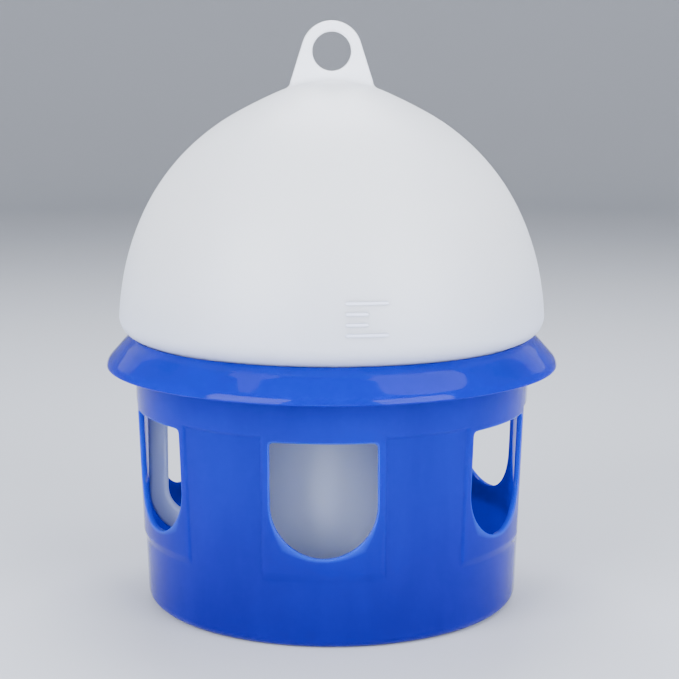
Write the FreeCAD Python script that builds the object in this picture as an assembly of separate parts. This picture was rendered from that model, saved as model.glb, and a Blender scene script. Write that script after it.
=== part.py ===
import FreeCAD, Part
import math
import os
from FreeCAD import Vector

# A gravity drinker for poultry: a blow-moulded fount stands mouth down in a moulded
# drinking base. Millimetres, +Z up, origin on the ground under the middle of the base.
# The fount's moulding plane is XZ, and one drinking window faces -Y.

# Fount: a domed bottle with a hanging tab on top and a flat grip beside its neck.
fount_radius = 103.3      # widest outside radius, just above the heel
fount_wall = 2.0
heel_round = 10.0         # heel between the dome's side and its underside
heel_sweep = 70.0         # degrees of heel before the curve turns into the shoulder
side_lean = 3.0           # degrees above the heel's level where the side arc begins
side_radius = 128.8
side_sweep = 25.0         # degrees where the dome arc takes over
dome_radius = 106.8
dome_sweep = 61.0         # degrees where the flatter, nearly conical arc takes over
cone_radius = 240.0
cone_sweep = 66.5         # degrees where the crown arc takes over
neck_radius = 57.0
mouth_gap = 22.6          # mouth rim above the floor, which sets the water level

# Hanging tab: a flat ring that flares down into the crown.
hole_radius = 9.3
ring_rim = 5.2
hole_lift = 13.7          # hole's centre above the crown
tab_flare = 17.6          # degrees that the tab's sides lean out
tab_thick = 4.6
tab_root_depth = 5.0      # how far the tab reaches below the crown
tab_edge_round = 1.2
tab_root_round = 2.4

# Grip: a flat strap in the moulding plane, on the -X side of the neck.
grip_width = 9.5
grip_thick = 6.4
grip_low = 3.6            # strap's underside above the mouth rim
grip_foot = 11.0          # height of the strap where it meets the neck
grip_outer_bend = 22.0
grip_inner_bend = 13.0
grip_neck_bend = 6.5
bend_share = 0.7          # most of the room beside the neck that a bend may take
grip_edge_round = 2.2
finger_top = 26.0         # top of the finger gap below the heel's centre

# Drinking base: an open tub with a collar and a sloping skirt.
base_height = 131.1       # top of the lip that the fount stands on
base_wall = 1.6
floor_thick = 2.4
wall_draft = 2.1          # degrees
foot_round = 5.0
foot_inner_round = 3.0
collar_step = 1.1         # collar and window panels stand this far off the wall
collar_rise = 1.6         # height of the slanted step under the collar
collar_above_window = 1.3
lip_round = 1.0
lip_inset = 3.8           # lip's crest outside the centre of the fount's heel
lip_over_collar = 0.3
lip_slope = 30.0          # degrees that the lip falls towards the tub's inside
skirt_slope = 47.0        # degrees below level
skirt_reach = 12.7        # rim's radius beyond the lip's crest
skirt_thick = 2.0
rim_bend = 8.0            # outside radius of the turned-down rim
rim_slope = 78.0

# Drinking windows: flat top, half-round bottom, on panels that stand off the wall.
window_count = 6
window_turn = -2.3        # degrees from -Y to the front window's middle
window_width = 48.2
window_sill = 42.9
window_top = 96.2
window_corner = 2.2
panel_border = 3.6
panel_below_sill = 9.0

# Clearances between the two mouldings.
seat_gap = 0.35           # fount's underside to the base's lip
grip_gap = 0.5            # grip to the inside of the tub


def rad(angle):
    return math.radians(angle)


def section(r, z):
    return Vector(r, 0, z)


def arc(centre, radius, start, end):
    """An arc edge in the XZ plane between two angles measured from +X."""
    def at(angle):
        return section(centre[0] + radius * math.cos(rad(angle)),
                       centre[1] + radius * math.sin(rad(angle)))
    return Part.Arc(at(start), at((start + end) / 2), at(end)).toShape()


def chain(edges):
    """A closed wire through the edges in order, with straight links over the gaps."""
    ends = [(e.valueAt(e.FirstParameter), e.valueAt(e.LastParameter)) for e in edges]
    linked = []
    for i, edge in enumerate(edges):
        linked.append(edge)
        here, there = ends[i][1], ends[(i + 1) % len(ends)][0]
        if here.distanceToPoint(there) > 1e-6:
            linked.append(Part.makeLine(here, there))
    return Part.Wire(linked)


def line(start, end):
    return Part.makeLine(section(*start), section(*end))


def revolve(edges):
    return Part.Face(chain(edges)).revolve(Vector(0, 0, 0), Vector(0, 0, 1), 360)


def plate(edges, thick):
    """A flat plate across the XZ plane, half its thickness on each side."""
    flat = Part.Face(chain(edges))
    flat.translate(Vector(0, -thick / 2, 0))
    return flat.extrude(Vector(0, thick, 0))


def round_faces(solid, thick, radius):
    """Round the edges of a plate's two flat faces."""
    picked = []
    for edge in solid.Edges:
        box = edge.BoundBox
        if box.YLength < 1e-6 and abs(abs(box.YMin) - thick / 2) < 1e-6:
            picked.append(edge)
    return solid.makeFillet(radius, picked)


# Places shared by the two mouldings.
heel_r = fount_radius - heel_round
lip_r = heel_r + lip_inset
lip_z = base_height - lip_round
heel_z = lip_z + math.sqrt((heel_round + lip_round + seat_gap) ** 2 - lip_inset ** 2)
mouth_z = floor_thick + mouth_gap
draft = math.tan(rad(wall_draft))
foot_radius = lip_r - lip_over_collar - collar_step - lip_z * draft


def wall_radius(z):
    """Outside radius of the tub's plain wall."""
    return foot_radius + z * draft


def inner_radius(z):
    return wall_radius(z) - base_wall


def next_centre(centre, radius, new_radius, angle):
    """Centre of the arc that goes on from another one, tangent to it at an angle."""
    step = radius - new_radius
    return (centre[0] + step * math.cos(rad(angle)), centre[1] + step * math.sin(rad(angle)))


# Fount's section, as tangent arcs: crown, cone, dome, side, heel and shoulder, then the neck.
side_centre = next_centre((heel_r, heel_z), heel_round, side_radius, side_lean)
dome_centre = next_centre(side_centre, side_radius, dome_radius, side_sweep)
cone_centre = next_centre(dome_centre, dome_radius, cone_radius, dome_sweep)
crown_radius = cone_radius + cone_centre[0] / math.cos(rad(cone_sweep))
crown_centre = next_centre(cone_centre, cone_radius, crown_radius, cone_sweep)
crown_z = crown_centre[1] + crown_radius
heel_turn = 1 - math.cos(rad(heel_sweep))
shoulder_radius = (fount_radius - neck_radius) / heel_turn - heel_round
shoulder_r = neck_radius + shoulder_radius
shoulder_z = heel_z - (heel_round + shoulder_radius) * math.sin(rad(heel_sweep))


def fount_section(inset):
    """Edges of the fount's section from the crown to the mouth, inset from its outside."""
    neck = neck_radius - inset
    return [
        arc((0, crown_centre[1]), crown_radius - inset, 90, cone_sweep),
        arc(cone_centre, cone_radius - inset, cone_sweep, dome_sweep),
        arc(dome_centre, dome_radius - inset, dome_sweep, side_sweep),
        arc(side_centre, side_radius - inset, side_sweep, side_lean),
        arc((heel_r, heel_z), heel_round - inset, side_lean, -heel_sweep),
        arc((shoulder_r, shoulder_z), shoulder_radius + inset, 180 - heel_sweep, 180),
        line((neck, shoulder_z), (neck, mouth_z)),
    ]


def fount_fill(inset):
    """The solid inside the fount's section."""
    return revolve(fount_section(inset) + [line((0, mouth_z), (0, crown_z - inset))])


def hanging_tab():
    hole_z = crown_z + hole_lift
    outer = hole_radius + ring_rim
    root_z = crown_z - tab_root_depth
    shoulder = (outer * math.cos(rad(tab_flare)), hole_z + outer * math.sin(rad(tab_flare)))
    root_half = shoulder[0] + (shoulder[1] - root_z) * math.tan(rad(tab_flare))
    tab = plate([
        line((-root_half, root_z), (root_half, root_z)),
        line((root_half, root_z), shoulder),
        arc((0, hole_z), outer, tab_flare, 180 - tab_flare),
    ], tab_thick)
    tab = round_faces(tab, tab_thick, tab_edge_round)
    hole = Part.makeCylinder(hole_radius, 2 * tab_thick, Vector(0, -tab_thick, hole_z), Vector(0, 1, 0))
    return tab.cut(hole)


def grip():
    low = mouth_z + grip_low
    foot = low + grip_foot
    top = heel_z - heel_round - fount_wall / 2
    buried = neck_radius - fount_wall / 2
    # Each bend keeps to the room beside the neck, and the strap clears the wall where its
    # outer bend ends.
    outer_bend = min(grip_outer_bend, bend_share * (inner_radius(low) - grip_gap - neck_radius))
    reach = inner_radius(low + outer_bend) - grip_gap
    inner = reach - grip_width
    inner_bend = min(grip_inner_bend, bend_share * (inner - neck_radius))
    neck_bend = min(grip_neck_bend, inner - buried - inner_bend)
    finger_z = heel_z - finger_top
    strap = plate([
        line((-buried, low), (outer_bend - reach, low)),
        arc((outer_bend - reach, low + outer_bend), outer_bend, 270, 180),
        line((-reach, low + outer_bend), (-reach, top)),
        line((-buried, top), (-buried, low)),
    ], grip_thick)
    gap = plate([
        line((-buried, finger_z), (-buried, foot + neck_bend)),
        arc((-buried - neck_bend, foot + neck_bend), neck_bend, 0, -90),
        arc((inner_bend - inner, foot + inner_bend), inner_bend, 270, 180),
        arc((inner_bend - inner, finger_z - inner_bend), inner_bend, 180, 90),
    ], 2 * grip_thick)
    return round_faces(strap.cut(gap), grip_thick, grip_edge_round)


def round_root(bottle):
    """Blend the foot of the hanging tab into the crown."""
    reach = tab_thick / 2 + 1e-3
    picked = []
    for edge in bottle.Edges:
        box = edge.BoundBox
        on_tab = max(abs(box.YMin), abs(box.YMax)) < reach
        if on_tab and crown_z - tab_root_depth < box.ZMin and box.ZMax < crown_z + 1e-3:
            picked.append(edge)
    return bottle.makeFillet(tab_root_round, picked)


def fount_bottle():
    shell = fount_fill(0).cut(fount_fill(fount_wall))
    bottle = round_root(shell.fuse(hanging_tab().cut(fount_fill(fount_wall / 2))))
    return bottle.fuse(grip().cut(fount_fill(fount_wall / 2))).removeSplitter()


def meet_wall(start, direction, foot):
    """Where a line meets the drafted wall that has the radius foot at ground level."""
    step = (foot + start[1] * draft - start[0]) / (direction[0] - direction[1] * draft)
    return (start[0] + step * direction[0], start[1] + step * direction[1])


def tub():
    collar_z = window_top + collar_above_window
    collar_top = collar_z + collar_rise
    collar_foot = foot_radius + collar_step
    collar_start = (collar_foot + collar_top * draft, collar_top)
    foot_angle = math.degrees(math.atan(draft))
    foot_r = wall_radius(foot_round) - foot_round / math.cos(rad(foot_angle))
    corner_z = floor_thick + foot_inner_round
    corner_r = inner_radius(corner_z) - foot_inner_round / math.cos(rad(foot_angle))
    # The skirt is a cone from the lip's crest, and its rim turns down on an arc.
    down = (math.cos(rad(skirt_slope)), -math.sin(rad(skirt_slope)))
    bend_r = lip_r + skirt_reach - rim_bend * math.sin(rad(rim_slope))
    run = (bend_r - lip_r - (rim_bend - lip_round) * down[1]) / down[0]
    bend_z = lip_z - (rim_bend - lip_round) * down[0] + run * down[1]
    under = lip_round - skirt_thick
    skirt_root = meet_wall((lip_r - under * down[1], lip_z + under * down[0]), down, collar_foot)
    # The seat falls from the lip's crest to the inside of the wall.
    inward = (-math.cos(rad(lip_slope)), -math.sin(rad(lip_slope)))
    seat_start = (lip_r + lip_round * inward[1], lip_z - lip_round * inward[0])
    seat_end = meet_wall(seat_start, inward, foot_radius - base_wall)
    return revolve([
        line((0, 0), (foot_r, 0)),
        arc((foot_r, foot_round), foot_round, -90, -foot_angle),
        line((wall_radius(collar_z), collar_z), collar_start),
        line(collar_start, skirt_root),
        arc((bend_r, bend_z), rim_bend - skirt_thick, 90 - skirt_slope, 90 - rim_slope),
        arc((bend_r, bend_z), rim_bend, 90 - rim_slope, 90 - skirt_slope),
        arc((lip_r, lip_z), lip_round, 90 - skirt_slope, 90 + lip_slope),
        line(seat_start, seat_end),
        arc((corner_r, corner_z), foot_inner_round, -foot_angle, -90),
        line((0, floor_thick), (0, 0)),
    ])


def turned(solid, azimuth):
    """A solid made facing -Y, turned to another azimuth."""
    solid.rotate(Vector(0, 0, 0), Vector(0, 0, 1), azimuth)
    return solid


def window_panel():
    """The raised surround of one window, from below its sill to the collar."""
    low = window_sill - panel_below_sill
    high = window_top + collar_above_window + collar_rise
    half = math.degrees(math.asin((window_width / 2 + panel_border) / wall_radius(window_top)))
    sunk = base_wall / 2
    face = Part.Face(chain([
        line((wall_radius(low) - sunk, low), (wall_radius(low) + collar_step, low)),
        line((wall_radius(high) + collar_step, high), (wall_radius(high) - sunk, high)),
    ]))
    face.rotate(Vector(0, 0, 0), Vector(0, 0, 1), -90 - half)
    return face.revolve(Vector(0, 0, 0), Vector(0, 0, 1), 2 * half)


def window_hole():
    half = window_width / 2
    round_z = window_sill + half
    corner = half - window_corner
    opening = Part.Face(chain([
        arc((corner, window_top - window_corner), window_corner, 0, 90),
        arc((-corner, window_top - window_corner), window_corner, 90, 180),
        arc((0, round_z), half, 180, 360),
    ]))
    return opening.extrude(Vector(0, -2 * fount_radius, 0))


def drinking_base():
    azimuths = [window_turn + i * 360 / window_count for i in range(window_count)]
    base = tub().fuse([turned(window_panel(), azimuth) for azimuth in azimuths])
    return base.removeSplitter().cut([turned(window_hole(), azimuth) for azimuth in azimuths])


os.makedirs("parts", exist_ok=True)
for name, solid in (("fount_bottle", fount_bottle()), ("drinking_base", drinking_base())):
    solid.exportStep(f"parts/{name}.step")
    print(name, "solids", len(solid.Solids), "valid", solid.isValid(), "cm3", round(solid.Volume / 1000, 1))
litres = fount_fill(fount_wall).Volume / 1e6
print("fount holds", round(litres, 2), "litres; crown at", round(crown_z, 1), "heel at", round(heel_z, 2))
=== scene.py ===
import math
import bmesh
import bpy
from mathutils import Matrix, Vector


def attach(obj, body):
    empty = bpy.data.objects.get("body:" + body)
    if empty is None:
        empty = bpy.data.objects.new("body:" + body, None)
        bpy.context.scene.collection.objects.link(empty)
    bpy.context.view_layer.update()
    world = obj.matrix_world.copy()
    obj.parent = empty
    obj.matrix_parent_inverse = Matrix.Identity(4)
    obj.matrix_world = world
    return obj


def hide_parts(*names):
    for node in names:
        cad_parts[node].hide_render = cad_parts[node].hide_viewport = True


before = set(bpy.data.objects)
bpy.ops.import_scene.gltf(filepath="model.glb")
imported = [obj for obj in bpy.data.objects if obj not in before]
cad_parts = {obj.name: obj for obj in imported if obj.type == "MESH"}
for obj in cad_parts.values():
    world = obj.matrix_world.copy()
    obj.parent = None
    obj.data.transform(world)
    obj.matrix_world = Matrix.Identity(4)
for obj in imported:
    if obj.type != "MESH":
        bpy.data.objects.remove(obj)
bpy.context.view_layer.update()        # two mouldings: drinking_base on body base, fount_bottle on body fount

mm = 0.001               # the tub and fount are drawn in millimetres and scaled once, at the end
print("frame loaded")


def linearColour(hexCode):
    parts = [int(hexCode[i:i + 2], 16) / 255 for i in (1, 3, 5)]
    return [c / 12.92 if c <= 0.04045 else ((c + 0.055) / 1.055) ** 2.4 for c in parts] + [1.0]


def addNode(material, kind, values=None, links=None, **settings):
    # one shader node, with its settings, its socket values and what feeds its sockets
    tree = material.node_tree
    node = tree.nodes.new("ShaderNode" + kind)
    for name, value in settings.items():
        setattr(node, name, value)
    for socket, value in (values or {}).items():
        node.inputs[socket].default_value = value
    for socket, (source, output) in (links or {}).items():
        tree.links.new(source.outputs[output], node.inputs[socket])
    return node


def newMaterial(name):
    material = bpy.data.materials.new(name)
    material.use_nodes = True
    material.node_tree.nodes.clear()
    return material


def finishMaterial(material, shader):
    addNode(material, "OutputMaterial", links={"Surface": (shader, "BSDF")})
    return material


def smooth(t):
    t = min(1.0, max(0.0, t))
    return t * t * (3 - 2 * t)


def arcPoints(centre, radius, start, end, steps):
    # points of a section, radius from the axis and height, on an arc between two angles
    angles = [math.radians(start + (end - start) * i / steps) for i in range(steps + 1)]
    return [(centre[0] + radius * math.cos(a), centre[1] + radius * math.sin(a)) for a in angles]


def linePoints(start, end, steps):
    return [(start[0] + (end[0] - start[0]) * i / steps, start[1] + (end[1] - start[1]) * i / steps)
            for i in range(1, steps + 1)]


def pull(bm, edges, place):
    # extrude an edge loop, put each new vertex where place says, and hand the new loop back
    made = bmesh.ops.extrude_edge_only(bm, edges=edges)["geom"]
    new = {g for g in made if isinstance(g, bmesh.types.BMVert)}
    for vert in new:
        source = next(e.other_vert(vert) for e in vert.link_edges if e.other_vert(vert) not in new)
        vert.co = place(source.co.copy())
    return [g for g in made if isinstance(g, bmesh.types.BMEdge) and all(v in new for v in g.verts)]


def atRadius(co, radius, height):
    flat = Vector((co.x, co.y, 0)).normalized() * radius
    return Vector((flat.x, flat.y, height))


def pullRings(bm, edges, section):
    for radius, height in section:
        edges = pull(bm, edges, lambda co: atRadius(co, radius, height))
    return edges


def closePole(bm, edges, height):
    # gather a small ring into one vertex on the axis
    verts = list({v for e in edges for v in e.verts})
    bmesh.ops.pointmerge(bm, verts=verts, merge_co=(0, 0, height))


def joinTo(bm, part):
    # add a part's faces to the piece that it belongs to
    mesh = bpy.data.meshes.new("part")
    part.to_mesh(mesh)
    part.free()
    bm.from_mesh(mesh)
    bpy.data.meshes.remove(mesh)


def openEdges(bm, test):
    return [e for e in bm.edges if e.is_boundary and all(test(v.co) for v in e.verts)]


def finishPiece(bm, name, material, body, node):
    bmesh.ops.remove_doubles(bm, verts=bm.verts, dist=0.002)
    bmesh.ops.recalc_face_normals(bm, faces=bm.faces)
    bmesh.ops.scale(bm, vec=(mm, mm, mm), verts=bm.verts)
    print(name, "faces", len(bm.faces), "open edges", sum(1 for e in bm.edges if not e.is_manifold))
    mesh = bpy.data.meshes.new(name)
    bm.to_mesh(mesh)
    bm.free()
    mesh.shade_smooth()
    mesh.materials.append(material)
    piece = bpy.data.objects.new(name, mesh)
    bpy.context.scene.collection.objects.link(piece)
    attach(piece, body)
    if node:
        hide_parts(node)
    return piece


# Blue tub, in millimetres and degrees. Lengths on the wall are along it or up from the ground.
tub = {
    "footRadius": 90.929, "draft": 2.1, "wall": 1.6, "floor": 2.4,
    "footRound": 5.0, "innerRound": 3.0,
    "step": 1.1, "stepRise": 1.6, "collarHeight": 97.5,     # collar and panels stand off by step
    "windows": 6, "turn": -2.3, "windowWidth": 48.2, "sill": 42.9, "windowTop": 96.2,
    "corner": 2.2, "panelBorder": 3.6, "panelFoot": 33.9,
    "panelEdge": 1.2, "panelFade": 5.2,                     # a panel's sides are crisp, its foot fades
    "edgeRound": 0.55,                                      # round of the windows' edges
    "lipRadius": 97.1, "lipHeight": 130.1, "lipRound": 1.0, "seatSlope": 30.0,
    "bandReach": 4.0, "bandSlope": 41.0, "skirtSlope": 48.0, "skirtReach": 12.65, "skirtThick": 2.0,
    "rimBend": 8.0, "rimSlope": 78.0, "rimLip": 0.5,
    "sheetLow": 28.0, "sheetHigh": 104.0,                   # the part of the wall made as a flat sheet
    "sideStep": 3.0, "windowStep": 1.9, "fadeStep": 0.52, "collarStep": 0.4,
    "lowStep": 2.2, "middleStep": 2.0, "highStep": 1.6,     # spacing of the sheet's edges
    "ledge": 0.8,                                           # last edge before the plain wall
    "rootClear": 0.1, "rootBelow": 2.4, "rootLeave": 1.4,   # inner corner under the skirt
    "rootSoft": ((0.15, 1.3), (0.6, 0.85)),                 # its two points, out and down from the corner
    "seatSoft": 0.5,                                        # corner where the seat meets the inside
    # underside: the standing ring and the rise behind it, in from the foot's round and up; then
    # the moulding gate, a dished ring with a dimple in it, out from the axis and up
    "standing": ((3.0, 0.0), (3.6, 0.12), (4.2, 0.5), (5.0, 0.6)),
    "gate": ((7.04, 0.6), (4.8, 0.6), (4.0, 0.75), (3.2, 1.1), (1.6, 1.15), (1.3, 0.75), (0.5, 0.6)),
}
tubDraft = math.tan(math.radians(tub["draft"]))


def tubRadius(height):
    return tub["footRadius"] + height * tubDraft


def windowPoint(x, z):
    # the window's edge in the direction of a point of the panel, seen from the window's middle
    half = tub["windowWidth"] / 2
    middle = tub["sill"] + half
    if z < middle:
        reach = half / math.hypot(x, z - middle)
        return x * reach, middle + (z - middle) * reach
    share = min(half / max(abs(x), 1e-6), (tub["windowTop"] - middle) / max(z - middle, 1e-6))
    x, z = x * share, middle + (z - middle) * share
    inX, inZ = half - tub["corner"], tub["windowTop"] - tub["corner"]
    if abs(x) > inX and z > inZ:
        reach = tub["corner"] / math.hypot(abs(x) - inX, z - inZ)
        return math.copysign(inX + (abs(x) - inX) * reach, x), inZ + (z - inZ) * reach
    return x, z


def spread(low, high, step):
    count = max(1, round((high - low) / step))
    return [low + (high - low) * i / count for i in range(1, count + 1)]


def tubSheet():
    # one sixth of the wall, flat: a strip of edges pulled out sideways, and its window opened
    half = tub["windowWidth"] / 2 + tub["panelBorder"]
    edge = tub["panelEdge"] / 2
    inside, outside = half - edge, half + edge
    side = tubRadius(tub["sill"] + half) * math.pi / tub["windows"]
    steps = [-edge, -edge / 2, 0, edge / 2, edge]
    plain = outside + tub["ledge"]
    widths = [-side] + spread(-side, -plain, tub["sideStep"]) + [-half + s for s in steps]
    widths += spread(-inside, inside, tub["windowStep"]) + [half + s for s in steps[1:]]
    widths += [plain] + spread(plain, side, tub["sideStep"])
    fine = tub["collarStep"]
    fadeLow, holeLow = tub["panelFoot"] - tub["panelFade"] / 2, tub["panelFoot"] + tub["panelFade"] / 2
    stepLow, holeHigh = tub["collarHeight"] - fine, tub["collarHeight"] + tub["stepRise"] + fine
    heights = [tub["sheetLow"]] + spread(tub["sheetLow"], fadeLow, tub["lowStep"])
    heights += spread(fadeLow, holeLow, tub["fadeStep"])
    heights += spread(holeLow, stepLow, tub["middleStep"])
    heights += spread(stepLow, holeHigh, fine)
    heights += spread(holeHigh, tub["sheetHigh"], tub["highStep"])
    bm = bmesh.new()
    last = bm.verts.new((widths[0], 0, heights[0]))
    for z in heights[1:]:
        last = bmesh.ops.extrude_vert_indiv(bm, verts=[last])["verts"][0]
        last.co.z = z
    edges = list(bm.edges)
    for x in widths[1:]:
        edges = pull(bm, edges, lambda co: Vector((x, 0, co.z)))

    def within(co, grow):
        return abs(co.x) < inside + grow and holeLow - grow < co.z < holeHigh + grow

    opened = [f for f in bm.faces if within(f.calc_center_median(), 0)]
    bmesh.ops.delete(bm, geom=opened, context="FACES")
    hole = openEdges(bm, lambda co: within(co, 0.01))
    before = set(bm.edges)

    def onWindow(co):
        x, z = windowPoint(co.x, co.z)
        return Vector((x, 0, z))

    rim = pull(bm, hole, onWindow)
    spokes = [e for e in bm.edges if e not in before and e not in rim]
    bmesh.ops.subdivide_edges(bm, edges=spokes, cuts=3, use_grid_fill=True)
    return bm, half, side


def wrapSheet(bm, verts, half, side, inset):
    # bend the flat sheet round the axis; panels and collar stand off the outer skin
    sixth = math.pi / tub["windows"]
    for vert in verts:
        x, z = vert.co.x, vert.co.z
        radius = tubRadius(z) - inset
        beyond = half + tub["panelEdge"]
        if abs(x) <= beyond:
            angle = math.asin(x / radius)
        else:
            atEdge = math.asin(beyond / radius)
            angle = math.copysign(atEdge + (abs(x) - beyond) / (side - beyond) * (sixth - atEdge), x)
        if inset == 0:
            panel = smooth((half - abs(x)) / tub["panelEdge"] + 0.5)
            panel *= smooth((z - tub["panelFoot"]) / tub["panelFade"] + 0.5)
            collar = smooth((z - tub["collarHeight"]) / tub["stepRise"])
            radius += tub["step"] * max(panel, collar)
        vert.co = Vector((radius * math.sin(angle), -radius * math.cos(angle), z))


def tubSection():
    # from the collar's top over the skirt, its rim and the lip to the inside of the wall
    slope, thick = tub["skirtSlope"], tub["skirtThick"]
    lip, lipZ, lipRound = tub["lipRadius"], tub["lipHeight"], tub["lipRound"]
    bend, rimLip = tub["rimBend"], tub["rimLip"]
    band = math.radians(tub["bandSlope"])
    bandEnd = (lip + lipRound * math.sin(band) + tub["bandReach"],
               lipZ + lipRound * math.cos(band) - tub["bandReach"] * math.tan(band))
    bendR = lip + tub["skirtReach"] - bend * math.sin(math.radians(tub["rimSlope"]))
    top = 90 - slope
    # the skirt's cone starts at the band's end and stays tangent to the rim's bend
    startR = bendR + bend * math.cos(math.radians(top))
    bendZ = bandEnd[1] - (startR - bandEnd[0]) * math.tan(math.radians(slope)) \
        - bend * math.sin(math.radians(top))
    outer = linePoints(bandEnd, (startR, bendZ + bend * math.sin(math.radians(top))), 4)[:-1]
    outer += arcPoints((bendR, bendZ), bend, top, 90 - tub["rimSlope"], 8)
    inner = arcPoints((bendR, bendZ), bend - thick, 90 - tub["rimSlope"], top, 6)
    end = math.radians(90 - tub["rimSlope"])
    rimMiddle = (bendR + (bend - thick / 2) * math.cos(end), bendZ + (bend - thick / 2) * math.sin(end))
    rim = []
    for i in range(1, 6):
        turn = end - math.pi * i / 6
        rim.append((rimMiddle[0] + thick / 2 * math.cos(turn), rimMiddle[1] + rimLip * math.sin(turn)))
    under = inner[-1]
    wallTop = tubRadius(under[1]) + tub["step"]
    rise = (under[0] - wallTop) * math.tan(math.radians(slope))
    root = (wallTop + tub["rootClear"], under[1] + rise)
    below, leave = root[1] - tub["rootBelow"], tub["rootLeave"]
    section = linePoints((tubRadius(tub["sheetHigh"]) + tub["step"], tub["sheetHigh"]),
                         (tubRadius(below) + tub["step"], below), 5)
    # the inner corner under the skirt is softened over about two millimetres
    section += [(root[0] + out, root[1] - down) for out, down in tub["rootSoft"]]
    section.append((root[0] + leave, root[1] - leave * math.tan(math.radians(slope)) - 0.02))
    section += linePoints(section[-1], under, 4)[:-1]
    section += list(reversed(inner)) + list(reversed(rim)) + list(reversed(outer)) + [bandEnd]
    section += arcPoints((lip, lipZ), lipRound, 90 - tub["bandSlope"], 90 + tub["seatSlope"], 5)
    seat = math.radians(tub["seatSlope"])
    wallIn = tubRadius(lipZ) - tub["wall"]
    drop = (section[-1][0] - wallIn) * math.tan(seat)
    corner = (wallIn, section[-1][1] - drop)
    # a small round where the seat turns down into the wall
    soft = tub["seatSoft"]
    section += linePoints(section[-1], (corner[0] + soft, corner[1] + soft * math.tan(seat)), 2)
    section += [(corner[0] + 0.12, corner[1] - 0.1),
                (tubRadius(corner[1] - soft) - tub["wall"], corner[1] - 0.6)]
    wallEnd = tub["sheetHigh"] + 1
    section += linePoints(section[-1], (tubRadius(wallEnd) - tub["wall"], wallEnd), 8)
    return section


def footSections():
    # low goes down the wall, round the foot and in under the floor; high goes down the inside
    tilt = tub["draft"]
    foot, inner = tub["footRound"], tub["innerRound"]
    centre = (tubRadius(foot) - foot / math.cos(math.radians(tilt)), foot)
    sheetLow, gate = tub["sheetLow"], tub["gate"]
    low = linePoints((tubRadius(sheetLow), sheetLow), (tubRadius(foot + 1), foot + 1), 8)
    low += arcPoints(centre, foot, -tilt, -90, 8)
    low += [(centre[0] - inward, up) for inward, up in tub["standing"]]
    low += linePoints(low[-1], gate[0], 8) + list(gate[1:])
    inZ = tub["floor"] + inner
    inCentre = (tubRadius(inZ) - tub["wall"] - inner / math.cos(math.radians(tilt)), inZ)
    high = linePoints((tubRadius(sheetLow) - tub["wall"], sheetLow),
                      (tubRadius(inZ + 1) - tub["wall"], inZ + 1), 8)
    high += arcPoints(inCentre, inner, -tilt, -90, 6)
    high += linePoints(high[-1], (8.0, tub["floor"]), 10) + [(3.0, tub["floor"])]
    return low, high


def makeTub(material):
    bm, half, side = tubSheet()
    outer = list(bm.verts)
    copied = bmesh.ops.duplicate(bm, geom=list(bm.verts) + list(bm.edges) + list(bm.faces))["geom"]
    inner = [g for g in copied if isinstance(g, bmesh.types.BMVert)]
    bmesh.ops.reverse_faces(bm, faces=[g for g in copied if isinstance(g, bmesh.types.BMFace)])
    ends = (tub["sheetLow"], tub["sheetHigh"])
    rims = [e for e in bm.edges if e.is_boundary
            and all(abs(v.co.x) < half and ends[0] + 1 < v.co.z < ends[1] - 1 for v in e.verts)]
    wrapSheet(bm, outer, half, side, 0)
    wrapSheet(bm, inner, half, side, tub["wall"])
    bmesh.ops.bridge_loops(bm, edges=rims)
    outerSet = set(outer)
    mouldEdge = [e for e in rims if e.is_valid and all(v in outerSet for v in e.verts)]
    innerEdge = [e for e in rims if e.is_valid and e not in mouldEdge]
    rounded = bmesh.ops.bevel(bm, geom=mouldEdge, offset=tub["edgeRound"], segments=3, profile=0.5,
                              affect="EDGES", material=-1)["faces"]
    # painted light: marks the windows' rounded edges, which the blue material draws lighter
    thin = bm.verts.layers.float.new("paintedEdgeGlow")
    for vert in {v for f in rounded for v in f.verts}:
        vert[thin] = 1.0
    bmesh.ops.bevel(bm, geom=innerEdge, offset=tub["edgeRound"] / 2, segments=2, profile=0.5,
                    affect="EDGES", material=-1)
    turn = Matrix.Rotation(math.radians(tub["turn"]), 3, "Z")
    bmesh.ops.rotate(bm, verts=bm.verts, cent=(0, 0, 0), matrix=turn)
    whole = list(bm.verts) + list(bm.edges) + list(bm.faces)
    count = tub["windows"]
    bmesh.ops.spin(bm, geom=whole, cent=(0, 0, 0), axis=(0, 0, 1), steps=count - 1,
                   angle=math.radians(360 - 360 / count), use_duplicate=True)
    bmesh.ops.remove_doubles(bm, verts=bm.verts, dist=0.02)

    def ringAt(height, outside):
        middle = tubRadius(height) - tub["wall"] / 2
        return openEdges(bm, lambda co: abs(co.z - height) < 0.01
                         and (math.hypot(co.x, co.y) > middle) == outside)

    low, high = footSections()
    closePole(bm, pullRings(bm, ringAt(tub["sheetLow"], True), low), low[-1][1])
    closePole(bm, pullRings(bm, ringAt(tub["sheetLow"], False), high), high[-1][1])
    insideTop = ringAt(tub["sheetHigh"], False)
    top = pullRings(bm, ringAt(tub["sheetHigh"], True), tubSection())
    bmesh.ops.bridge_loops(bm, edges=top + insideTop)
    return finishPiece(bm, "blueTub", material, "base", "drinking_base")


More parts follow.
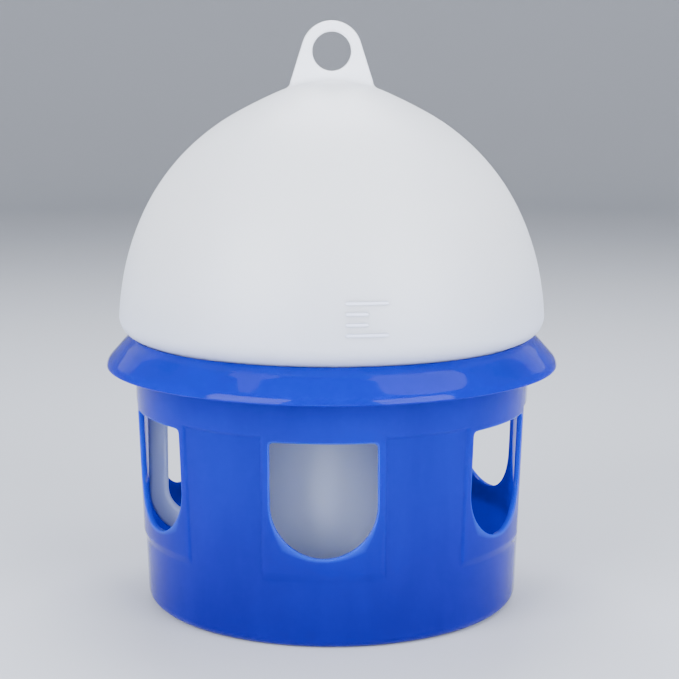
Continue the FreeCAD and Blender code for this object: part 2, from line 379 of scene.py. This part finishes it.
# White fount. Each arc of its section ends where the next begins, at the angle named sweep.
fount = {
    "radius": 103.3, "wall": 2.0, "heel": 10.0, "heelSweep": 70.0, "heelR": 93.3, "heelZ": 140.795,
    "sideLean": 3.0, "sideRadius": 128.8, "sideSweep": 25.0, "domeRadius": 106.8, "domeSweep": 61.0,
    "coneRadius": 240.0, "coneSweep": 66.5, "neckRadius": 57.0, "mouth": 25.0,
    "patchRadius": 36.0,                                    # crown inside this belongs to the tab's mesh
    "holeRadius": 9.3, "ringRadius": 14.49, "holeLift": 13.7, "flare": 17.6, "tabThick": 4.6,
    "tabRound": 1.25, "rootRound": 2.6, "holeCollar": 1.45,
    "rootSteps": 6, "spreadSteps": 8, "spreadEase": 1.25,   # rings from the tab's foot to the patch
    "lipLead": 1.6, "poleRadius": 4.0,
    "markTurn": 3.4, "markWidths": (19.0, 10.0, 10.0, 19.0), "markHeights": (146.0, 150.6, 155.2, 159.8),
    "markTall": 1.3, "markDeep": 1.2, "markStand": 0.4, "markRound": 0.22,
}


def nextCentre(centre, radius, newRadius, angle):
    step = radius - newRadius
    turn = math.radians(angle)
    return (centre[0] + step * math.cos(turn), centre[1] + step * math.sin(turn))


heelCentre = (fount["heelR"], fount["heelZ"])
sideCentre = nextCentre(heelCentre, fount["heel"], fount["sideRadius"], fount["sideLean"])
domeCentre = nextCentre(sideCentre, fount["sideRadius"], fount["domeRadius"], fount["sideSweep"])
coneCentre = nextCentre(domeCentre, fount["domeRadius"], fount["coneRadius"], fount["domeSweep"])
crownRadius = fount["coneRadius"] + coneCentre[0] / math.cos(math.radians(fount["coneSweep"]))
crownCentre = nextCentre(coneCentre, fount["coneRadius"], crownRadius, fount["coneSweep"])
crownTop = crownCentre[1] + crownRadius
shoulderRadius = (fount["radius"] - fount["neckRadius"]) \
    / (1 - math.cos(math.radians(fount["heelSweep"]))) - fount["heel"]
shoulderCentre = (fount["neckRadius"] + shoulderRadius, fount["heelZ"]
                  - (fount["heel"] + shoulderRadius) * math.sin(math.radians(fount["heelSweep"])))


def crownHeight(radius):
    if radius < crownRadius * math.cos(math.radians(fount["coneSweep"])):
        return crownCentre[1] + math.sqrt(crownRadius ** 2 - radius ** 2)
    if radius < coneCentre[0] + fount["coneRadius"] * math.cos(math.radians(fount["domeSweep"])):
        return coneCentre[1] + math.sqrt(fount["coneRadius"] ** 2 - (radius - coneCentre[0]) ** 2)
    return domeCentre[1] + math.sqrt(fount["domeRadius"] ** 2 - (radius - domeCentre[0]) ** 2)


def fountSkin(inset, start):
    # section from a starting radius on the crown, down the dome and round the heel to the neck
    points = []
    for centre, radius, first, last, steps in (
            (crownCentre, crownRadius, 90, fount["coneSweep"], 10),
            (coneCentre, fount["coneRadius"], fount["coneSweep"], fount["domeSweep"], 10),
            (domeCentre, fount["domeRadius"], fount["domeSweep"], fount["sideSweep"], 24),
            (sideCentre, fount["sideRadius"], fount["sideSweep"], fount["sideLean"], 18),
            (heelCentre, fount["heel"], fount["sideLean"], -fount["heelSweep"], 14)):
        points += arcPoints(centre, radius - inset, first, last, steps)[1:]
    points += arcPoints(shoulderCentre, shoulderRadius + inset, 180 - fount["heelSweep"], 180, 18)[1:]
    crown = 20                          # points of the first two arcs, which the start can cut short
    return [p for p in points[:crown] if p[0] > start] + points[crown:]


def orderedLoop(edges):
    # the loop's vertices in order, so that each one knows its neighbours
    start = edges[0].verts[0]
    loop, here, used = [start], start, set()
    members = set(edges)
    while True:
        step = next((e for e in here.link_edges if e in members and e not in used), None)
        if step is None:
            return loop
        used.add(step)
        here = step.other_vert(here)
        if here is start:
            return loop
        loop.append(here)


def makeTab(bm):
    # a ring of edges from the hole, pulled out to the tab's outline, then given its thickness
    hole, ring, thick = fount["holeRadius"], fount["ringRadius"], fount["tabThick"]
    flare, lift = fount["flare"], fount["rootRound"]
    holeZ = crownTop + fount["holeLift"]
    lean = math.tan(math.radians(flare))

    def around(radius, angle, y=0.0):
        turn = math.radians(angle)
        return Vector((radius * math.cos(turn), y, holeZ + radius * math.sin(turn)))

    def footHeight(x):
        return crownHeight(math.hypot(x, thick / 2)) + lift

    shoulder = around(ring, flare)
    footX = shoulder.x
    for _ in range(12):                 # the side's line meets the curved crown after a few tries
        footX = shoulder.x + (shoulder.z - footHeight(footX)) * lean
    foot = Vector((footX, 0, footHeight(footX)))
    corner = math.degrees(math.atan2(foot.z - holeZ, foot.x))
    # top, left side, foot and right side, each with its own share of the ring
    spans = ((flare, 180 - flare, 32), (180 - flare, 180 - corner, 12),
             (180 - corner, 360 + corner, 30), (360 + corner, 360 + flare, 12))
    angles = [low + (high - low) * i / count for low, high, count in spans for i in range(count)]

    def outline(angle):
        if angle <= 180 - flare:
            return around(ring, angle)
        if angle < 180 - corner or angle > 360 + corner:
            past = angle - 180 + flare if angle < 270 else 360 + flare - angle
            side = shoulder.lerp(foot, past / (flare - corner))
            return Vector((-side.x if angle < 270 else side.x, 0, side.z))
        x = footX * (2 * (angle - 180 + corner) / (180 + 2 * corner) - 1)
        return Vector((x, 0, footHeight(x)))

    made = bmesh.ops.create_circle(bm, segments=len(angles), radius=hole, cap_ends=False)["verts"]
    for vert, angle in zip(made, angles):
        vert.co = around(hole, angle, -thick / 2)

    def angleOf(co):
        angle = math.degrees(math.atan2(co.z - holeZ, co.x)) % 360
        return angle if angle > flare - 0.01 else angle + 360

    # the collar ends past the hole's rounded edge and short of the blend at the foot
    collar = hole + fount["holeCollar"]
    edges = pull(bm, list(bm.edges),
                 lambda co: Vector((co.x / hole * collar, co.y, holeZ + (co.z - holeZ) / hole * collar)))
    before = set(bm.edges)
    edges = pull(bm, edges, lambda co: outline(angleOf(co)) + Vector((0, co.y, 0)))
    spokes = [e for e in bm.edges if e not in before and e not in edges]
    bmesh.ops.subdivide_edges(bm, edges=spokes, cuts=1, use_grid_fill=True)
    made = bmesh.ops.extrude_face_region(bm, geom=list(bm.faces))["geom"]
    back = [g for g in made if isinstance(g, bmesh.types.BMVert)]
    bmesh.ops.translate(bm, verts=back, vec=(0, thick, 0))
    under = [f for f in bm.faces if all(abs(v.co.z - footHeight(v.co.x)) < 1e-3 for v in f.verts)]
    bmesh.ops.delete(bm, geom=under, context="FACES")
    bm.normal_update()
    bent = 1.2                          # radians between two faces, above which their edge is rounded
    sharp = [e for e in bm.edges if len(e.link_faces) == 2 and e.calc_face_angle() > bent]
    bmesh.ops.bevel(bm, geom=sharp, offset=fount["tabRound"], segments=4, profile=0.5,
                    affect="EDGES", material=-1)


# The grip's strap: its outer and inner edges, measured from the axis and from the ground.
grip = {
    "thick": 6.4, "round": 2.2, "low": 28.6, "foot": 39.6, "neckBend": 6.5,
    "outerBend": 22.0, "innerBend": 13.0, "outerX": 90.68, "innerX": 81.18, "fingerTop": 114.8,
    "topTurn": 66.0, "topClear": 1.5,                       # where its top leans in under the shoulder
    "sink": 1.0,                                            # depth of its ends in the fount's wall
}


def shoulderHeight(radius):
    # the fount's underside between its neck and heel
    return shoulderCentre[1] + math.sqrt(shoulderRadius ** 2 - (shoulderCentre[0] - radius) ** 2)


def makeGrip(bm):
    # a straight bar of rounded section, then bent so that its two edges follow the strap's
    root = fount["neckRadius"] - grip["sink"]
    bendIn, bendOut, bendNeck = grip["innerBend"], grip["outerBend"], grip["neckBend"]
    inner = [(root, grip["foot"] + bendNeck)]
    inner += arcPoints((root + bendNeck, grip["foot"] + bendNeck), bendNeck, 180, 270, 5)
    inner += arcPoints((grip["innerX"] - bendIn, grip["foot"] + bendIn), bendIn, -90, 0, 12)
    inner += linePoints(inner[-1], (grip["innerX"], grip["fingerTop"] - bendIn), 10)
    inner += arcPoints((grip["innerX"] - bendIn, grip["fingerTop"] - bendIn), bendIn, 0,
                       grip["topTurn"], 7)[1:]
    turnX = grip["outerX"] - bendOut
    outer = [(root, grip["low"])] + linePoints((root, grip["low"]), (turnX - 2, grip["low"]), 5)
    outer += [(turnX - 1, grip["low"])] + arcPoints((turnX, grip["low"] + bendOut), bendOut, -90, 0, 12)
    topOuter = shoulderHeight(grip["outerX"]) - grip["topClear"]
    outer += linePoints(outer[-1], (grip["outerX"], topOuter), len(inner) - len(outer))
    width = grip["outerX"] - grip["innerX"]
    bar = bmesh.new()
    bmesh.ops.create_grid(bar, x_segments=1, y_segments=1, size=0.5)
    bmesh.ops.scale(bar, vec=(width, grip["thick"], 1), verts=bar.verts)
    bmesh.ops.bevel(bar, geom=list(bar.verts), offset=grip["round"], segments=4, profile=0.5,
                    affect="VERTICES", material=-1)
    upright = Matrix.Rotation(math.radians(90), 3, "Y")
    bmesh.ops.rotate(bar, verts=bar.verts, cent=(0, 0, 0), matrix=upright)
    edges = list(bar.edges)
    for i in range(1, len(inner) + 1):
        edges = pull(bar, edges, lambda co: Vector((i, co.y, co.z)))
    bmesh.ops.contextual_create(bar, geom=edges)
    last = len(inner) - 1
    for vert in bar.verts:
        i = min(last, round(vert.co.x))
        fromInner = width / 2 + vert.co.z
        a, b = Vector((inner[i][0], 0, inner[i][1])), Vector((outer[i][0], 0, outer[i][1]))
        across, span = (b - a).normalized(), (b - a).length
        if fromInner <= grip["round"] + 1e-4:
            place = a + across * fromInner
        elif fromInner >= width - grip["round"] - 1e-4:
            place = b - across * (width - fromInner)
        else:
            share = (fromInner - grip["round"]) / (width - 2 * grip["round"])
            place = a + across * (grip["round"] + share * (span - 2 * grip["round"]))
        if vert.co.x > last + 0.5:
            place.z = shoulderHeight(place.x) + grip["sink"]
        vert.co = Vector((-place.x, vert.co.y, place.z))
    joinTo(bm, bar)


def skinRadius(height):
    # outside radius of the fount's side and dome at a height
    if height < sideCentre[1] + fount["sideRadius"] * math.sin(math.radians(fount["sideSweep"])):
        return sideCentre[0] + math.sqrt(fount["sideRadius"] ** 2 - (height - sideCentre[1]) ** 2)
    return domeCentre[0] + math.sqrt(fount["domeRadius"] ** 2 - (height - domeCentre[1]) ** 2)


def makeLevelMarks(bm):
    # plain raised fill-level bars, low on the front of the dome
    raised = bm.verts.layers.float.new("raised")
    for width, height in zip(fount["markWidths"], fount["markHeights"]):
        bar = bmesh.new()
        bmesh.ops.create_cube(bar, size=1)
        bmesh.ops.scale(bar, vec=(width, fount["markDeep"], fount["markTall"]), verts=bar.verts)
        reach = fount["markDeep"] / 2
        corners = [e for e in bar.edges if abs(e.verts[0].co.y - e.verts[1].co.y) > reach]
        bmesh.ops.bevel(bar, geom=corners, offset=fount["markTall"] * 0.45, segments=3, profile=0.5,
                        affect="EDGES", material=-1)
        face = [e for e in bar.edges if all(v.co.y < 0.01 - reach for v in e.verts)]
        bmesh.ops.bevel(bar, geom=face, offset=fount["markRound"], segments=2, profile=0.5,
                        affect="EDGES", material=-1)
        long = [e for e in bar.edges if abs(e.verts[0].co.x - e.verts[1].co.x) > width * 0.7]
        bmesh.ops.subdivide_edges(bar, edges=long, cuts=7, use_grid_fill=True)
        for vert in bar.verts:
            z = height + vert.co.z
            out = skinRadius(z) + fount["markStand"] - reach - vert.co.y
            angle = math.radians(fount["markTurn"]) + (vert.co.x + width / 2) / skinRadius(height)
            vert.co = Vector((out * math.sin(angle), -out * math.cos(angle), z))
        before = set(bm.verts)
        joinTo(bm, bar)
        for vert in set(bm.verts) - before:
            vert[raised] = 1.0


def placeKey(co):
    return tuple(round(c, 5) for c in co)


def pullTo(bm, edges, places, move):
    # pull a loop out once: places says where each numbered vertex is, and move where it goes
    number = {placeKey(co): i for i, co in places.items()}

    def follow(co):
        i = number[placeKey(co)]
        places[i] = move(i)
        return places[i]

    return pull(bm, edges, follow)


def onCrown(flat, lift=0.0):
    return Vector((flat.x, flat.y, crownHeight(math.hypot(flat.x, flat.y)) + lift))


def blendRoot(bm, edges, places):
    # the tab's foot runs out into the crown along a quarter round
    lift, steps = fount["rootRound"], fount["rootSteps"]
    count = len(places)
    outward = {}
    for i in range(count):
        chord = places[(i + 1) % count] - places[(i - 1) % count]
        side = Vector((chord.y, -chord.x, 0)).normalized()
        # at the two ends of the long thin foot, the faces' direction counts more than the ends'
        towards = Vector((places[i].x * 0.2, places[i].y, 0))
        outward[i] = -side if side.dot(towards) < 0 else side
    start = dict(places)
    for step in range(1, steps + 1):
        turn = math.radians(90 * step / steps)
        out, rise = lift * (1 - math.cos(turn)), lift * (1 - math.sin(turn))
        edges = pullTo(bm, edges, places, lambda i: onCrown(start[i] + outward[i] * out, rise))
    return edges


def spreadRoot(bm, edges, places):
    # the long loop opens out to an evenly divided circle on the crown
    number = {placeKey(co): i for i, co in places.items()}
    order = [number[placeKey(v.co)] for v in orderedLoop(edges)]
    count, whole = len(order), 2 * math.pi
    angles = [math.atan2(places[i].y, places[i].x) for i in order]
    swept = sum(math.remainder(angles[(k + 1) % count] - angles[k], whole) for k in range(count))
    share = math.copysign(whole / count, swept)
    offsets = [math.remainder(angles[k] - share * k, whole) for k in range(count)]
    first = math.atan2(sum(math.sin(o) for o in offsets), sum(math.cos(o) for o in offsets))
    radius, steps = fount["patchRadius"], fount["spreadSteps"]
    start, target = {}, {}
    for k, i in enumerate(order):
        angle = first + share * k
        start[i] = Vector((places[i].x, places[i].y, 0))
        target[i] = Vector((radius * math.cos(angle), radius * math.sin(angle), 0))
    for step in range(1, steps + 1):
        ease = (step / steps) ** fount["spreadEase"]
        edges = pullTo(bm, edges, places, lambda i: onCrown(start[i].lerp(target[i], ease)))
    return edges


def makeFount(material):
    bm = bmesh.new()
    makeTab(bm)
    edges = [e for e in bm.edges if e.is_boundary]
    places = {i: vert.co.copy() for i, vert in enumerate(orderedLoop(edges))}
    edges = spreadRoot(bm, blendRoot(bm, edges, places), places)
    # down the dome and neck, round the mouth's lip, and up the inside to the crown
    neck, wall, mouth = fount["neckRadius"], fount["wall"], fount["mouth"]
    outer = fountSkin(0, fount["patchRadius"] + 1.0)
    outer += linePoints(outer[-1], (neck, mouth + fount["lipLead"]), 16)
    outer += arcPoints((neck - wall / 2, mouth + wall / 2), wall / 2, 0, -180, 8)
    inner = list(reversed(fountSkin(wall, fount["poleRadius"])))
    outer += linePoints(outer[-1], inner[0], 16)[:-1]
    closePole(bm, pullRings(bm, edges, outer + inner), crownTop - wall)
    makeGrip(bm)
    makeLevelMarks(bm)
    return finishPiece(bm, "whiteFount", material, "fount", "fount_bottle")


def naturalPolyethylene():
    # Blow-moulded natural HDPE. Milky, because light goes a few millimetres in before it comes
    # back; satin, from a blasted mould; slow waves where the wall stretched unevenly.
    grainMm = 1.1                       # drawn coarser: a real mould's grain is too fine to show
    waveMm, cloudMm = 34.0, 60.0
    seamIn, seamOut = 0.15 * mm, 0.7 * mm
    neckTop, domeFoot = 0.085, 0.205    # heights between which the painted blue bounce light and shade on the neck fade out
    m = newMaterial("naturalPolyethyleneBlown")
    place = addNode(m, "TexCoord")
    split = addNode(m, "SeparateXYZ", links={"Vector": (place, "Object")})
    # painted light: the neck and grip are drawn a darker blue-white low down, painted shade and blue light
    # bounced from the tub, fading out up the dome
    rise = addNode(m, "MapRange", {"From Min": neckTop, "From Max": domeFoot, "To Min": 0.0, "To Max": 1.0},
                   {"Value": (split, "Z")}, interpolation_type="SMOOTHSTEP")
    milkWithPaintedBounce = addNode(m, "Mix", {6: linearColour("#B2BEE8"), 7: linearColour("#EFF2FD")},
                   {"Factor": (rise, "Result")}, data_type="RGBA")
    cloud = addNode(m, "TexNoise", {"Scale": 1 / (cloudMm * mm), "Detail": 3.0, "Roughness": 0.5},
                    {"Vector": (place, "Object")})
    uneven = addNode(m, "MapRange", {"From Min": 0.3, "From Max": 0.7, "To Min": 0.965, "To Max": 1.0},
                     {"Value": (cloud, "Fac")})
    # the parting line, where the mould's halves met: a shade darker, a tenth of a millimetre proud
    side = addNode(m, "Math", links={0: (split, "Y")}, operation="ABSOLUTE")
    parting = addNode(m, "MapRange",
                      {"From Min": seamIn, "From Max": seamOut, "To Min": 1.0, "To Max": 0.0},
                      {"Value": (side, "Value")}, interpolation_type="SMOOTHSTEP")
    seamShade = addNode(m, "MapRange", {"From Min": 0.0, "From Max": 1.0, "To Min": 1.0, "To Max": 0.955},
                        {"Value": (parting, "Result")})
    shade = addNode(m, "Math", links={0: (uneven, "Result"), 1: (seamShade, "Result")},
                    operation="MULTIPLY")
    colour = addNode(m, "VectorMath", links={0: (milkWithPaintedBounce, 2), "Scale": (shade, "Value")}, operation="SCALE")
    grain = addNode(m, "TexNoise", {"Scale": 1 / (grainMm * mm), "Detail": 2.0, "Roughness": 0.6},
                    {"Vector": (place, "Object")})
    wave = addNode(m, "TexNoise", {"Scale": 1 / (waveMm * mm), "Detail": 1.0, "Roughness": 0.4},
                   {"Vector": (place, "Object")})
    slow = addNode(m, "Bump", {"Strength": 0.5, "Distance": 0.4 * mm}, {"Height": (wave, "Fac")})
    fine = addNode(m, "Bump", {"Strength": 0.22, "Distance": 0.05 * mm},
                   {"Height": (grain, "Fac"), "Normal": (slow, "Normal")})
    seam = addNode(m, "Bump", {"Strength": 1.0, "Distance": 0.1 * mm},
                   {"Height": (parting, "Result"), "Normal": (fine, "Normal")})
    satin = addNode(m, "MapRange", {"From Min": 0.3, "From Max": 0.7, "To Min": 0.40, "To Max": 0.50},
                    {"Value": (cloud, "Fac")})
    # light would go through the thin raised bars, be lost under them, and leave them grey
    mark = addNode(m, "Attribute", attribute_name="raised")
    depth = addNode(m, "MapRange", {"From Min": 0.0, "From Max": 1.0, "To Min": 0.8, "To Max": 0.0},
                    {"Value": (mark, "Fac")})
    shader = addNode(m, "BsdfPrincipled",
                     {"IOR": 1.54, "Specular IOR Level": 0.42,
                      "Subsurface Radius": (1.0, 1.0, 1.08), "Subsurface Scale": 9.0 * mm},
                     {"Base Color": (colour, "Vector"), "Roughness": (satin, "Result"),
                      "Subsurface Weight": (depth, "Result"), "Normal": (seam, "Normal")})
    return finishMaterial(m, shader)


def bluePolypropylene():
    # Injection-moulded PP in a blue masterbatch. Glossy, with crisp reflections; deep blue light
    # comes through the thin wall; soft flow marks run down it, and the gloss has faint hairlines.
    flowMm, waveMm = 26.0, 42.0
    speckMm, rubMm = 0.9, 0.8           # drawn coarser: real specks and hairlines are too fine to show
    flowStretch, rubStretch = 0.28, 0.08
    wallFoot, wallTop = 0.0, 0.1        # heights between which the blue lightens; the darker foot is painted shade
    m = newMaterial("bluePolypropyleneMoulded")
    place = addNode(m, "TexCoord")
    split = addNode(m, "SeparateXYZ", links={"Vector": (place, "Object")})
    rise = addNode(m, "MapRange", {"From Min": wallFoot, "From Max": wallTop, "To Min": 0.0, "To Max": 1.0},
                   {"Value": (split, "Z")}, interpolation_type="SMOOTHSTEP")
    # painted shade: the blue is drawn darker and more violet low on the tub
    pigmentWithPaintedShade = addNode(m, "Mix", {6: linearColour("#05067A"), 7: linearColour("#021294")},
                      {"Factor": (rise, "Result")}, data_type="RGBA")
    # painted light: the windows' rounded edges are drawn a lighter blue, a painted glow along them
    edge = addNode(m, "Attribute", attribute_name="paintedEdgeGlow")
    glow = addNode(m, "MapRange", {"From Min": 0.0, "From Max": 1.0, "To Min": 0.0, "To Max": 0.35},
                   {"Value": (edge, "Fac")})
    lit = addNode(m, "Mix", {7: linearColour("#1F5BE0")},
                  {"Factor": (glow, "Result"), 6: (pigmentWithPaintedShade, 2)}, data_type="RGBA")
    stretch = addNode(m, "Mapping", {"Scale": (1.0, 1.0, flowStretch)}, {"Vector": (place, "Object")})
    flow = addNode(m, "TexNoise", {"Scale": 1 / (flowMm * mm), "Detail": 3.0, "Roughness": 0.55,
                                   "Distortion": 0.4}, {"Vector": (stretch, "Vector")})
    uneven = addNode(m, "MapRange", {"From Min": 0.3, "From Max": 0.7, "To Min": 0.88, "To Max": 1.08},
                     {"Value": (flow, "Fac")})
    colour = addNode(m, "VectorMath", links={0: (lit, 2), "Scale": (uneven, "Result")}, operation="SCALE")
    wave = addNode(m, "TexNoise", {"Scale": 1 / (waveMm * mm), "Detail": 1.0},
                   {"Vector": (place, "Object")})
    speck = addNode(m, "TexNoise", {"Scale": 1 / (speckMm * mm), "Detail": 2.0},
                    {"Vector": (place, "Object")})
    slow = addNode(m, "Bump", {"Strength": 0.16, "Distance": 0.5 * mm}, {"Height": (wave, "Fac")})
    fine = addNode(m, "Bump", {"Strength": 0.06, "Distance": 0.03 * mm},
                   {"Height": (speck, "Fac"), "Normal": (slow, "Normal")})
    rubMap = addNode(m, "Mapping", {"Scale": (rubStretch, rubStretch, 1.0)}, {"Vector": (place, "Object")})
    rub = addNode(m, "TexNoise", {"Scale": 1 / (rubMm * mm), "Detail": 4.0, "Roughness": 0.7},
                  {"Vector": (rubMap, "Vector")})
    gloss = addNode(m, "MapRange", {"From Min": 0.35, "From Max": 0.75, "To Min": 0.05, "To Max": 0.09},
                    {"Value": (rub, "Fac")})
    shader = addNode(m, "BsdfPrincipled",
                     {"IOR": 1.49, "Specular IOR Level": 0.1, "Subsurface Weight": 1.0,
                      "Subsurface Radius": (0.03, 0.08, 1.0), "Subsurface Scale": 16.0 * mm},
                     {"Base Color": (colour, "Vector"), "Roughness": (gloss, "Result"),
                      "Normal": (fine, "Normal")})
    return finishMaterial(m, shader)


def backdropPaper():
    # plain pale paper, matt, with a trace of tooth, drawn coarser than a real sheet's
    toothMm = 10 / 7
    m = newMaterial("matBackdropPaper")
    place = addNode(m, "TexCoord")
    tooth = addNode(m, "TexNoise", {"Scale": 1 / (toothMm * mm), "Detail": 2.0},
                    {"Vector": (place, "Object")})
    bump = addNode(m, "Bump", {"Strength": 0.08, "Distance": 0.1 * mm}, {"Height": (tooth, "Fac")})
    shader = addNode(m, "BsdfPrincipled", {"Base Color": linearColour("#C4C6CA"), "Roughness": 0.7},
                     {"Normal": (bump, "Normal")})
    return finishMaterial(m, shader)


# Stage, lights and camera, in metres.
stage = {"flat": 2.0, "bend": 1.2, "rise": 3.0, "steps": 96}


def makeStage(material):
    # a bowl of paper, the same from every side: floor, a long bend and a wall all the way round
    bm = bmesh.new()
    path = arcPoints((stage["flat"], stage["bend"]), stage["bend"], -90, 0, 24)
    path.append((stage["flat"] + stage["bend"], stage["rise"]))
    last = bm.verts.new((0, 0, 0))
    for reach, z in path:
        last = bmesh.ops.extrude_vert_indiv(bm, verts=[last])["verts"][0]
        last.co = (reach, 0, z)
    bmesh.ops.spin(bm, geom=list(bm.verts) + list(bm.edges), cent=(0, 0, 0), axis=(0, 0, 1),
                   angle=2 * math.pi, steps=stage["steps"], use_merge=True, use_duplicate=False)
    bmesh.ops.remove_doubles(bm, verts=bm.verts, dist=0.0001)
    bmesh.ops.recalc_face_normals(bm, faces=bm.faces)
    mesh = bpy.data.meshes.new("paleSweep")
    bm.to_mesh(mesh)
    bm.free()
    mesh.shade_smooth()
    mesh.materials.append(material)
    sweep = bpy.data.objects.new("paleSweep", mesh)
    bpy.context.scene.collection.objects.link(sweep)


studio = {"lampTint": "#F1F5FF", "aimHeight": 0.15, "airTint": "#E3E7F0", "airStrength": 0.5}


def addSoftbox(name, place, size, power):
    light = bpy.data.lights.new(name, "AREA")
    light.shape, light.size, light.size_y = "RECTANGLE", size[0], size[1]
    light.energy, light.color = power, linearColour(studio["lampTint"])[:3]
    lamp = bpy.data.objects.new(name, light)
    lamp.location = place
    aim = Vector((0, 0, studio["aimHeight"])) - Vector(place)
    lamp.rotation_euler = aim.to_track_quat("-Z", "Y").to_euler()
    bpy.context.scene.collection.objects.link(lamp)


# place, width and height, and power in watts of each softbox
softboxes = {
    "keySoftbox": ((-0.95, -1.0, 0.66), (1.0, 1.1), 49.0),
    "fillSoftbox": ((0.95, -1.05, 0.60), (1.0, 1.1), 46.0),
    "frontFill": ((0.1, -1.5, 0.33), (0.5, 0.35), 1.0),
    "overheadRight": ((0.56, -0.14, 1.15), (0.6, 0.55), 6.0),
    "overheadLeft": ((-0.52, -0.15, 1.2), (0.3, 0.3), 1.2),
    "overheadBack": ((0.0, 0.55, 1.15), (0.7, 0.4), 18.0),
    "rimRight": ((0.78, 0.9, 0.68), (0.4, 0.6), 0.6),
    "rimLeft": ((-0.78, 0.9, 0.68), (0.4, 0.6), 0.6),
}


def makeLights():
    for name, (place, size, power) in softboxes.items():
        addSoftbox(name, place, size, power)
    world = bpy.data.worlds.new("studioAir")
    world.use_nodes = True
    sky = world.node_tree.nodes["Background"]
    sky.inputs["Color"].default_value = linearColour(studio["airTint"])
    sky.inputs["Strength"].default_value = studio["airStrength"]
    bpy.context.scene.world = world


view = {"distance": 0.879, "pitch": 9.74, "aimHeight": 0.1269, "lens": 95.0, "sensor": 36.0,
        "shift": 0.0115, "nearest": 0.05, "farthest": 30.0}


def makeCamera():
    camera = bpy.data.cameras.new("studioCamera")
    camera.lens, camera.sensor_width, camera.shift_x = view["lens"], view["sensor"], view["shift"]
    camera.clip_start, camera.clip_end = view["nearest"], view["farthest"]
    holder = bpy.data.objects.new("studioCamera", camera)
    pitch = math.radians(view["pitch"])
    holder.location = (0, -view["distance"] * math.cos(pitch),
                       view["aimHeight"] + view["distance"] * math.sin(pitch))
    holder.rotation_euler = (math.radians(90) - pitch, 0, 0)
    bpy.context.scene.collection.objects.link(holder)
    bpy.context.scene.camera = holder


makeStage(backdropPaper())
makeLights()
makeCamera()
print("stage, lights and camera made")
makeTub(bluePolypropylene())
makeFount(naturalPolyethylene())
print("tub and fount made")
